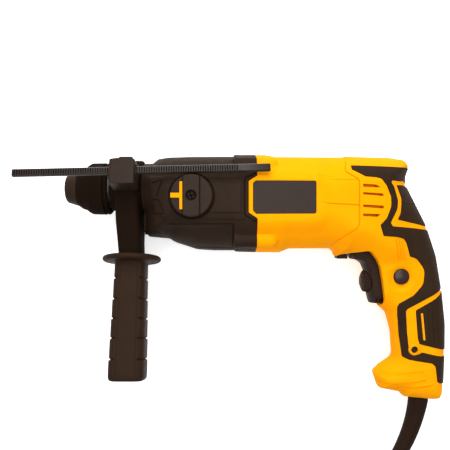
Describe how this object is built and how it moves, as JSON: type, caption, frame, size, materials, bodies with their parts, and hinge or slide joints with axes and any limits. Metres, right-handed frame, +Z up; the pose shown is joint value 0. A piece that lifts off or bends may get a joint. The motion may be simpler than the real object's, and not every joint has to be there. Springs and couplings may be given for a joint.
{
  "type": "rotary hammer",
  "caption": "Corded pistol-grip rotary hammer with keyless tool socket, mode knob, side handle with depth rod, variable-speed trigger, rubber lead and plug.",
  "frame": {"origin": "on the spindle axis at the mouth of the tool socket", "axes": "-X out of the chuck along the spindle, +Y towards the hammer's top in use, +Z up out of its left flank; it lies on its right flank"},
  "size_m": [0.37, 0.4053, 0.0909],
  "materials": {
    "dark_housing": "dark glass-filled nylon, fine moulded texture",
    "yellow_housing": "yellow glass-filled nylon, fine moulded texture",
    "yellow_mark": "yellow pointer moulding",
    "soft_rubber": "soft overmoulded rubber",
    "chuck_plastic": "dark plastic sleeve",
    "label_film": "plain dark label film",
    "control_plastic": "dark plastic",
    "rod_finish": "dark coated ridged bar",
    "black_screws": "blackened steel",
    "machined_steel": "ground steel",
    "spring_steel": "spring wire",
    "cast_alloy": "cast alloy",
    "bronze": "sintered bronze and brass",
    "copper": "copper segments",
    "laminations": "laminated iron with windings",
    "carbon": "carbon",
    "inner_plastic": "black plastic",
    "cord_rubber": "black rubber cable",
    "plug_metal": "plated pins"
  },
  "bodies": {
    "body": {"gear_housing": "dark_housing", "bearing_plate": "cast_alloy", "motor_housing": "yellow_housing", "housing_screws": "black_screws", "label_plates": "label_film", "front_bearing": "machined_steel", "oil_seal": "soft_rubber", "tube_bearing": "bronze", "ball_bearings": "machined_steel", "stator": "laminations", "brush_holders": "bronze", "carbon_brushes": "carbon", "handle_left_shell": "yellow_housing", "handle_right_shell": "yellow_housing", "left_rubber": "soft_rubber", "right_rubber": "soft_rubber", "handle_screws": "black_screws", "switch_body": "inner_plastic", "trigger_spring": "spring_steel", "capacitor": "inner_plastic", "cable_clamp": "inner_plastic", "cable_boot": "cord_rubber", "cord_lead": "cord_rubber", "cord_coil": "cord_rubber", "cord_tail": "cord_rubber", "coil_tie": "cord_rubber", "plug": "cord_rubber", "plug_pins": "plug_metal", "piston": "cast_alloy", "piston_pin": "machined_steel", "wobble_ring": "machined_steel", "wobble_hub": "machined_steel"},
    "spindle": {"tool_holder": "machined_steel", "dust_cap": "soft_rubber", "locking_ball": "machined_steel", "sleeve_washers": "machined_steel", "sleeve_spring": "spring_steel", "spindle_gear": "machined_steel"},
    "sleeve": {"locking_sleeve": "chuck_plastic"},
    "bolt": {"impact_bolt": "machined_steel"},
    "ram": {"striker": "machined_steel"},
    "lay_shaft": {"intermediate_shaft": "machined_steel", "intermediate_gear": "machined_steel"},
    "armature": {"armature_shaft": "machined_steel", "armature_core": "laminations", "commutator": "copper", "cooling_fan": "inner_plastic"},
    "trigger": {"trigger": "control_plastic"},
    "dial": {"speed_dial": "control_plastic"},
    "lock": {"lock_button": "control_plastic"},
    "lever": {"reverse_lever": "control_plastic"},
    "selector": {"mode_knob": "dark_housing", "knob_pointer": "yellow_mark", "knob_screw": "black_screws"},
    "side_handle": {"handle_bracket": "dark_housing", "clamp_band": "machined_steel", "clamp_bolt": "machined_steel"},
    "grip": {"side_grip": "soft_rubber", "grip_nut": "machined_steel"},
    "rod": {"depth_rod": "rod_finish"}
  },
  "joints": [
    {"name": "armature_spin", "type": "hinge", "parent": "body", "child": "armature", "pos_m": [0.2, -0.0124, 0], "axis": [1, 0, 0], "continuous": true},
    {"name": "spindle_spin", "type": "hinge", "parent": "body", "child": "spindle", "pos_m": [0, 0, 0], "axis": [1, 0, 0], "continuous": true},
    {"name": "lay_shaft_spin", "type": "hinge", "parent": "body", "child": "lay_shaft", "pos_m": [0.13, -0.02995, 0], "axis": [1, 0, 0], "continuous": true},
    {"name": "sleeve_pull", "type": "slide", "parent": "spindle", "child": "sleeve", "axis": [1, 0, 0], "range_m": [0, 0.006], "stiffness_N_per_m": 1500, "springref_m": -0.004, "deforming": ["sleeve_spring"]},
    {"name": "bolt_slide", "type": "slide", "parent": "spindle", "child": "bolt", "axis": [1, 0, 0], "range_m": [-0.002, 0]},
    {"name": "striker_slide", "type": "slide", "parent": "body", "child": "ram", "axis": [1, 0, 0], "range_m": [-0.005, 0.008]},
    {"name": "trigger_pull", "type": "slide", "parent": "body", "child": "trigger", "axis": [1, 0, 0], "range_m": [0, 0.006], "stiffness_N_per_m": 800, "springref_m": -0.004, "deforming": ["trigger_spring"]},
    {"name": "dial_turn", "type": "hinge", "parent": "trigger", "child": "dial", "pos_m": [0.266, -0.0827, 0], "axis": [-1, 0, 0], "range_deg": [-135, 135]},
    {"name": "lock_press", "type": "slide", "parent": "body", "child": "lock", "axis": [0, 0, -1], "range_m": [0, 0.003], "stiffness_N_per_m": 500, "springref_m": -0.002},
    {"name": "lever_swing", "type": "hinge", "parent": "body", "child": "lever", "pos_m": [0.268, -0.05, 0], "axis": [0, 1, 0], "range_deg": [-12, 12]},
    {"name": "mode_turn", "type": "hinge", "parent": "body", "child": "selector", "pos_m": [0.1137, -0.0082, 0.04], "axis": [0, 0, 1], "range_deg": [-90, 90]},
    {"name": "handle_swing", "type": "hinge", "parent": "body", "child": "side_handle", "pos_m": [0.0577, 0, 0], "axis": [1, 0, 0], "range_deg": [-147, 0]},
    {"name": "grip_screw", "type": "hinge", "parent": "side_handle", "child": "grip", "pos_m": [0.06, 0, 0], "axis": [0, -0.9781, 0.2079], "range_deg": [-180, 0]},
    {"name": "rod_slide", "type": "slide", "parent": "side_handle", "child": "rod", "axis": [0.9997, 0.023, -0.0049], "range_m": [-0.1, 0.03]}
  ],
  "couplings": [
    {"joint": "lay_shaft_spin", "follows": "armature_spin", "ratio": -0.18182},
    {"joint": "spindle_spin", "follows": "armature_spin", "ratio": 0.055556}
  ]
}
